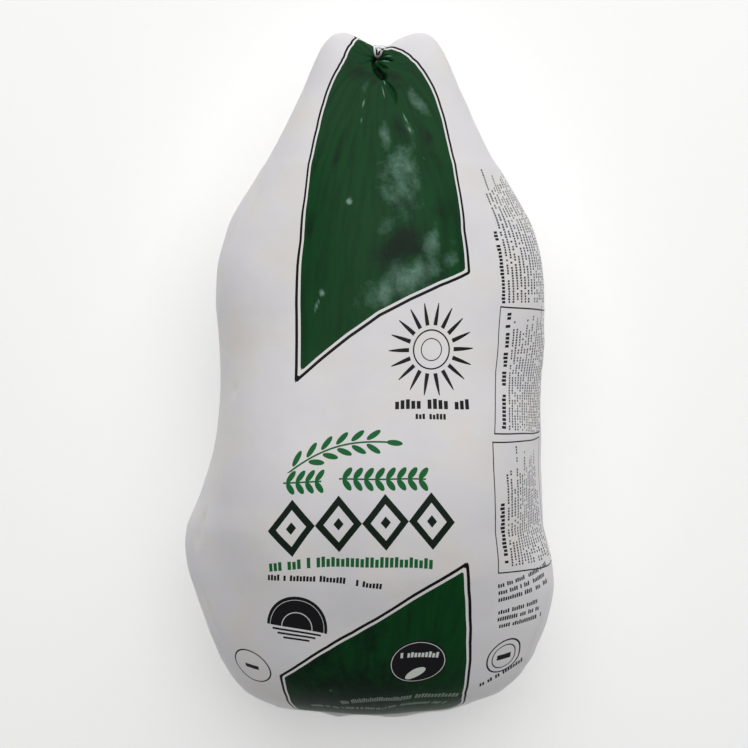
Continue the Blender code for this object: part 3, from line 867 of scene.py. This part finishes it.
def printOn(tree, colour, solid):
    # flexo print: thin even inks with crisp edges, black, green and bare film
    look = filmLook
    bagMap = addNode(tree, "ShaderNodeUVMap", uv_map="bagMillimetres")
    read = {}
    for field in ("upperPanelEdge", "lowerPanelEdge", "frost", "wet", "foldDepth"):
        read[field] = (addNode(tree, "ShaderNodeAttribute", attribute_name=field), "Fac")

    # panels: a black line, a strip of bare film, then green ink in soft patches: frosted with painted
    # highlights among the frost, and clinging wet and dark with painted shade among the wet
    edge = addNode(tree, "ShaderNodeMath", {0: read["upperPanelEdge"], 1: read["lowerPanelEdge"]},
                   operation="MAXIMUM")
    keyline = within(tree, (edge, panels["keyline"] / 2, panels["keyline"] / 2))
    body = addNode(tree, "ShaderNodeMath", {0: edge, 1: panels["keyline"] + panels["bareGap"]},
                   operation="GREATER_THAN")
    grain = addNode(tree, "ShaderNodeTexNoise",
                    {"Vector": solid, "Scale": 1000 / look["frostGrain"], "Detail": 5.0, "Roughness": 0.7})
    patches = addNode(tree, "ShaderNodeTexNoise",
                      {"Vector": solid, "Scale": 1000 / look["frostPatch"], "Detail": 3.0})
    rough = addNode(tree, "ShaderNodeMath", {0: grain, 1: 2.0, 2: patches}, operation="MULTIPLY_ADD")
    frostAndSheenShare = addNode(tree, "ShaderNodeMath", {0: read["frost"], 1: rough}, operation="MULTIPLY")
    frostAndSheenPart = addNode(tree, "ShaderNodeMapRange", {"Value": frostAndSheenShare, "From Min": look["frostFrom"][0],
                        "From Max": look["frostFrom"][1]})
    wetAndShadeShare = addNode(tree, "ShaderNodeMath", {0: read["wet"], 1: rough}, operation="MULTIPLY")
    wetAndShadePart = addNode(tree, "ShaderNodeMapRange", {"Value": wetAndShadeShare, "From Min": look["wetFrom"][0],
                      "From Max": look["wetFrom"][1], "To Max": look["wetMost"]})
    perMm = [1 / size for size in look["streakSize"]]
    stretched = addNode(tree, "ShaderNodeVectorMath", {0: bagMap, 1: (*perMm, 1)}, operation="MULTIPLY")
    streaks = addNode(tree, "ShaderNodeTexNoise", {"Vector": stretched, "Scale": 1.0, "Detail": 4.0})
    streakPart = addNode(tree, "ShaderNodeMapRange", {"Value": streaks, "From Min": 0.56, "From Max": 0.3,
                         "To Max": look["streakMost"]})
    wetAndShadeGreen = linear(look["greenWetAndShade"])
    # painted shade darkens the green in the wet patches, and the frost patches carry painted highlights
    green = layered(tree, linear(look["green"]), (
        (wetAndShadeGreen, streakPart), (wetAndShadeGreen, wetAndShadePart), (linear(look["greenFrostAndSheen"]), frostAndSheenPart)))
    colour = layered(tree, colour, ((green, body), (linear(look["keyline"]), keyline)))
    for name, ink, marks in inks:
        colour = layered(tree, colour, ((linear(ink), inkMask(tree, bagMap, marks)),))
        print("ink laid:", name)
    # painted shade: the deep grooves at the gather are painted near-black over everything
    return layered(tree, colour, ((linear(look["paintedFoldShade"]), read["foldDepth"]),))


skin.data.materials.append(filmMaterial("flexo_printed_white_polyethylene"))
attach(skin, "root")
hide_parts("duck_in_film")
print("film printed")


def piece(name, points, faces, material, cadNode):
    # points in mm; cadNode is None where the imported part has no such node
    mesh = bpy.data.meshes.new(name)
    mesh.from_pydata([tuple(p / 1000 for p in point) for point in points], [], faces)
    mesh.polygons.foreach_set("use_smooth", [True] * len(mesh.polygons))
    mesh.materials.append(material)
    made = bpy.data.objects.new(name, mesh)
    bpy.context.scene.collection.objects.link(made)
    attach(made, "root")
    if cadNode:
        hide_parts(cadNode)


def tubeFaces(rings, around):
    # quads between rings of points, and a fan at each end round one more point
    faces = []
    for k in range(rings - 1):
        a, b = k * around, (k + 1) * around
        faces += [(a + i, a + (i + 1) % around, b + (i + 1) % around, b + i) for i in range(around)]
    first, last = rings * around, rings * around + 1
    end = (rings - 1) * around
    faces += [(first, (i + 1) % around, i) for i in range(around)]
    faces += [(last, end + i, end + (i + 1) % around) for i in range(around)]
    return faces


# gathered tail: the bag's mouth twisted together, crushed where the clip holds it, ruffled where it is free
tail = {
    # one value at each place of the path
    "path": ((4.8, 153.6, 54.6), (4.9, 154.6, 55.6), (5.0, 156.3, 56.2), (4.9, 157.4, 55.6),
             (4.9, 157.6, 53.8), (4.9, 157.7, 51.0), (5.0, 158.2, 46.0), (5.1, 158.9, 39.0)),
    "halfWide": (1.9, 2.1, 2.2, 2.3, 2.3, 2.6, 3.5, 4.5),
    "halfDeep": (1.5, 1.6, 1.4, 0.8, 0.42, 0.8, 1.5, 2.1),
    "ruffle": (0.06, 0.12, 0.15, 0.14, 0.08, 0.14, 0.2, 0.26),
    "pleats": 8,
    "finePleats": 2.6,  # times as many, at finePart of the height
    "finePart": 0.4,
    "twist": 2.2,  # radians over its length
    "around": 144,
    "rings": 96,
    "softening": 6,
    # the hollow mouth: how far each ring in it is drawn in, and how deep it lies
    "mouth": ((0.93, -0.1), (0.86, 0.5), (0.7, 3.0)),
}


def alongTail(values):
    # one value for each ring, eased between the places of the path
    marks = np.linspace(0, 1, len(values))
    line = np.interp(np.linspace(0, 1, tail["rings"]), marks, values)
    for _ in range(tail["softening"]):
        line = np.convolve(np.pad(line, 1, mode="edge"), (0.25, 0.5, 0.25), mode="valid")
    return line


def tailMesh():
    centre = np.stack([alongTail([place[k] for place in tail["path"]]) for k in range(3)], axis=1)
    run = np.gradient(centre, axis=0)
    run /= np.linalg.norm(run, axis=1, keepdims=True)
    side = np.cross(np.cross(run, (1.0, 0, 0)), run)
    side /= np.linalg.norm(side, axis=1, keepdims=True)
    deep = np.cross(side, run)
    ruffle, halfWide, halfDeep = (alongTail(tail[key]) for key in ("ruffle", "halfWide", "halfDeep"))
    twist = tail["twist"] * np.linspace(0, 1, tail["rings"])
    angle = np.linspace(0, 2 * math.pi, tail["around"], endpoint=False)
    fine = tail["finePart"] * np.sin(tail["finePleats"] * tail["pleats"] * angle)
    rings = []
    for k in range(tail["rings"]):
        wave = np.sin(tail["pleats"] * (angle + twist[k]) + 1.3 * np.sin(3 * angle)) + fine
        swell = 1 + ruffle[k] * wave
        wide = halfWide[k] * np.cos(angle) * swell
        thick = halfDeep[k] * np.sin(angle) * swell
        rings.append(centre[k] + wide[:, None] * side[k] + thick[:, None] * deep[k])
    edge, middle = rings[-1], centre[-1]
    for drawnIn, depth in tail["mouth"]:
        rings.append(middle + (edge - middle) * drawnIn - depth * run[-1])
    ends = np.array([centre[0], middle - tail["mouth"][-1][1] * run[-1]])
    return np.concatenate(rings + [ends]), tubeFaces(len(rings), tail["around"])


tailPoints, tailFaces = tailMesh()
bareFilm = filmMaterial("gathered_white_polyethylene", bare=True)
piece("gathered_tail", tailPoints, tailFaces, bareFilm, "gathered_film_tail")
print("tail gathered")


# clip: round wire bent once round the tail and pressed shut, its two cut ends almost touching
clip = {
    "middle": (4.9, 157.6, 53.8),
    "half": (3.55, 1.35),  # of the flat loop that the wire's middle follows
    "wire": 1.05,  # the wire's radius
    "gap": 0.35,
    "rise": 0.5,  # how far one end stands above the other
    "around": 32,
    "rings": 150,
    "cutEnd": (0.82, 0.93, 0.98, 1),  # the first rings' thickness: cut ends are a little rounded
}


def clipMesh():
    # the loop is two straights and two half circles, starting at the middle of one straight
    wide, deep = clip["half"]
    straight = wide - deep
    length = 4 * straight + 2 * math.pi * deep
    centres = []
    for place in np.linspace(clip["gap"] / 2, length - clip["gap"] / 2, clip["rings"]):
        if place < straight:
            x, y = place, deep
        elif place < straight + math.pi * deep:
            turn = (place - straight) / deep
            x, y = straight + deep * math.sin(turn), deep * math.cos(turn)
        elif place < 3 * straight + math.pi * deep:
            x, y = 2 * straight + math.pi * deep - place, -deep
        elif place < 3 * straight + 2 * math.pi * deep:
            turn = (place - 3 * straight - math.pi * deep) / deep
            x, y = -straight - deep * math.sin(turn), -deep * math.cos(turn)
        else:
            x, y = place - length, deep
        centres.append((x, y, clip["rise"] * (place / length - 0.5)))
    centres = np.array(centres)
    run = np.gradient(centres, axis=0)
    run /= np.linalg.norm(run, axis=1, keepdims=True)
    out = np.cross(run, (0, 0, 1.0))
    out /= np.linalg.norm(out, axis=1, keepdims=True)
    up = np.cross(out, run)
    angle = np.linspace(0, 2 * math.pi, clip["around"], endpoint=False)[:, None]
    points = []
    for k in range(clip["rings"]):
        fromEnd = min(k, clip["rings"] - 1 - k)
        thick = clip["wire"] * clip["cutEnd"][min(fromEnd, len(clip["cutEnd"]) - 1)]
        points.append(centres[k] + thick * (np.cos(angle) * out[k] + np.sin(angle) * up[k]))
    points = np.concatenate(points + [centres[[0, -1]]]) + np.array(clip["middle"])
    return points, tubeFaces(clip["rings"], clip["around"])


wireLook = {
    "dull": "#b9bcc0",
    "bright": "#dfe1e3",
    "roughness": (0.24, 0.42),
    "patchSize": 2.38,  # mm
    "scratchSize": 0.625,  # die lines are finer, drawn coarser so that they show
    "scratchHeight": 0.04,
}


def wireMaterial():
    # drawn aluminium wire: the die leaves it bright and finely scratched along its length
    material = bpy.data.materials.new("drawn_aluminium_wire")
    material.use_nodes = True
    tree = material.node_tree
    shader = tree.nodes["Principled BSDF"]
    look = wireLook
    solid = (addNode(tree, "ShaderNodeTexCoord"), "Object")
    dull = addNode(tree, "ShaderNodeTexNoise",
                   {"Vector": solid, "Scale": 1000 / look["patchSize"], "Detail": 3.0})
    rough = addNode(tree, "ShaderNodeMapRange", {"Value": dull, "From Min": 0.3, "From Max": 0.7,
                    "To Min": look["roughness"][0], "To Max": look["roughness"][1]})
    tone = addNode(tree, "ShaderNodeMix", {0: dull, 6: linear(look["dull"]), 7: linear(look["bright"])},
                   data_type="RGBA")
    scratch = addNode(tree, "ShaderNodeTexNoise",
                      {"Vector": solid, "Scale": 1000 / look["scratchSize"], "Detail": 2.0})
    bump = addNode(tree, "ShaderNodeBump",
                   {"Height": scratch, "Distance": look["scratchHeight"] / 1000, "Strength": 0.6})
    tree.links.new(tone.outputs[2], shader.inputs["Base Color"])
    tree.links.new(rough.outputs[0], shader.inputs["Roughness"])
    tree.links.new(bump.outputs["Normal"], shader.inputs["Normal"])
    shader.inputs["Metallic"].default_value = 1.0
    return material


clipPoints, clipFaces = clipMesh()
piece("wire_clip", clipPoints, clipFaces, wireMaterial(), "crimped_clip")
print("clip bent")

# end seam: the heat-sealed lip across the neck end, crumpled and folded down against the bag
seam = {
    "from": -46.0,
    "to": 50.0,
    "top": 49.5,
    "topWave": (1.6, 17),  # the sealed edge wanders this much up and down, over this length
    "drop": 7.5,
    "thick": 0.35,
    "sunk": 0.3,  # its upper edge runs into the film, the rest stands off by lift
    "lift": 0.45,
    "lips": ((-15.5, 6.0, 1.9), (15.0, 11.0, 1.5), (39.0, 5.0, 0.6)),  # folds: place, half width, height
    "crumple": 0.45,
    "columns": 240,
    "rows": 12,
}


def slabFaces(columns, rows):
    # two sheets of columns x rows points, closed round their four edges
    count = columns * rows
    faces = []
    for i in range(columns - 1):
        for j in range(rows - 1):
            a, b = i * rows + j, (i + 1) * rows + j
            faces.append((a, a + 1, b + 1, b))
            faces.append((count + a, count + b, count + b + 1, count + a + 1))
        high, low = i * rows, (i + 1) * rows - 1
        faces.append((low, count + low, count + low + rows, low + rows))
        faces.append((high, high + rows, count + high + rows, count + high))
    last = (columns - 1) * rows
    for j in range(rows - 1):
        faces.append((j, count + j, count + j + 1, j + 1))
        faces.append((last + j, last + j + 1, count + last + j + 1, count + last + j))
    return faces


def seamMesh():
    mesh = skin.data
    skinTree = BVHTree.FromPolygons([v.co for v in mesh.vertices], [p.vertices for p in mesh.polygons])
    outer = np.zeros((seam["columns"], seam["rows"], 3))
    for i, x in enumerate(np.linspace(seam["from"], seam["to"], seam["columns"])):
        share = i / (seam["columns"] - 1)
        ends = min(1.0, 6 * share, 6 * (1 - share))  # the folds die out towards both ends
        top = seam["top"] + seam["topWave"][0] * math.sin(x / seam["topWave"][1])
        top += 0.5 * noise.noise(Vector((x / 4, 3, 0)))
        drop = seam["drop"] * (0.75 + 0.25 * ends) + 0.9 * noise.noise(Vector((x / 6, 7, 0)))
        stand = sum(height * math.exp(-((x - place) / width) ** 2) for place, width, height in seam["lips"])
        for j in range(seam["rows"]):
            down = j / (seam["rows"] - 1)
            z = top - drop * down
            hit = skinTree.ray_cast(Vector((x / 1000, -0.3, z / 1000)), Vector((0, 1, 0)))[0]
            lift = -seam["sunk"] + (seam["lift"] + seam["sunk"]) * min(1, 5 * down)
            lift += ends * stand * math.sin(math.pi * min(1, 1.25 * down))
            lift += seam["crumple"] * ends * down * (0.6 + noise.noise(Vector((x / 3.2, 2.4 * down, 0))))
            outer[i, j] = (x, hit.y * 1000 - lift, z)
    inner = outer + (0, seam["thick"], 0)
    points = np.concatenate([outer.reshape(-1, 3), inner.reshape(-1, 3)])
    return points, slabFaces(seam["columns"], seam["rows"])


seamPoints, seamFaces = seamMesh()
piece("end_seam_lip", seamPoints, seamFaces, bareFilm, None)
print("end seam folded")

# floor, light and camera, in metres
studio = {
    "floorSize": 16.0,
    "floorColour": "#f4f4f3",
    "floorRoughness": 0.8,
    "floorGlow": 0.264,  # keeps the backdrop nearly white round the bag
    "keySize": 2.2,
    "keyPlace": (0.13, 0.87, 1.33),
    "keyPower": 25.4,
    "skyStrength": 0.16,
    "lens": 100.0,
    "cameraPlace": (0.0025, -0.0007, 1.070),
}


def paperMaterial(name):
    # pressed white paper: dead matte, with a faint glow that keeps the backdrop even and nearly white
    material = bpy.data.materials.new(name)
    material.use_nodes = True
    shader = material.node_tree.nodes["Principled BSDF"]
    shader.inputs["Base Color"].default_value = linear(studio["floorColour"])
    shader.inputs["Roughness"].default_value = studio["floorRoughness"]
    shader.inputs["Emission Color"].default_value = (1, 1, 1, 1)
    shader.inputs["Emission Strength"].default_value = studio["floorGlow"]
    return material


far = studio["floorSize"] / 2
floorMesh = bpy.data.meshes.new("pale_floor")
floorMesh.from_pydata([(-far, -far, 0), (far, -far, 0), (far, far, 0), (-far, far, 0)], [], [(0, 1, 2, 3)])
floorMesh.materials.append(paperMaterial("paper"))
floor = bpy.data.objects.new("pale_floor", floorMesh)
bpy.context.scene.collection.objects.link(floor)

keyData = bpy.data.lights.new("soft_box", "AREA")
keyData.size = studio["keySize"]
keyData.energy = studio["keyPower"]
key = bpy.data.objects.new("soft_box", keyData)
key.location = studio["keyPlace"]
key.rotation_euler = (-Vector(studio["keyPlace"])).to_track_quat("-Z", "Y").to_euler()
bpy.context.scene.collection.objects.link(key)

world = bpy.data.worlds.new("studio_air")
world.use_nodes = True
world.node_tree.nodes["Background"].inputs["Color"].default_value = (1, 1, 1, 1)
world.node_tree.nodes["Background"].inputs["Strength"].default_value = studio["skyStrength"]
bpy.context.scene.world = world
bpy.context.scene.view_settings.view_transform = "Standard"

cameraData = bpy.data.cameras.new("overhead_camera")
cameraData.lens = studio["lens"]
cameraData.sensor_width = 36.0
camera = bpy.data.objects.new("overhead_camera", cameraData)
camera.location = studio["cameraPlace"]
bpy.context.scene.collection.objects.link(camera)
bpy.context.scene.camera = camera
print("floor, light and camera set")
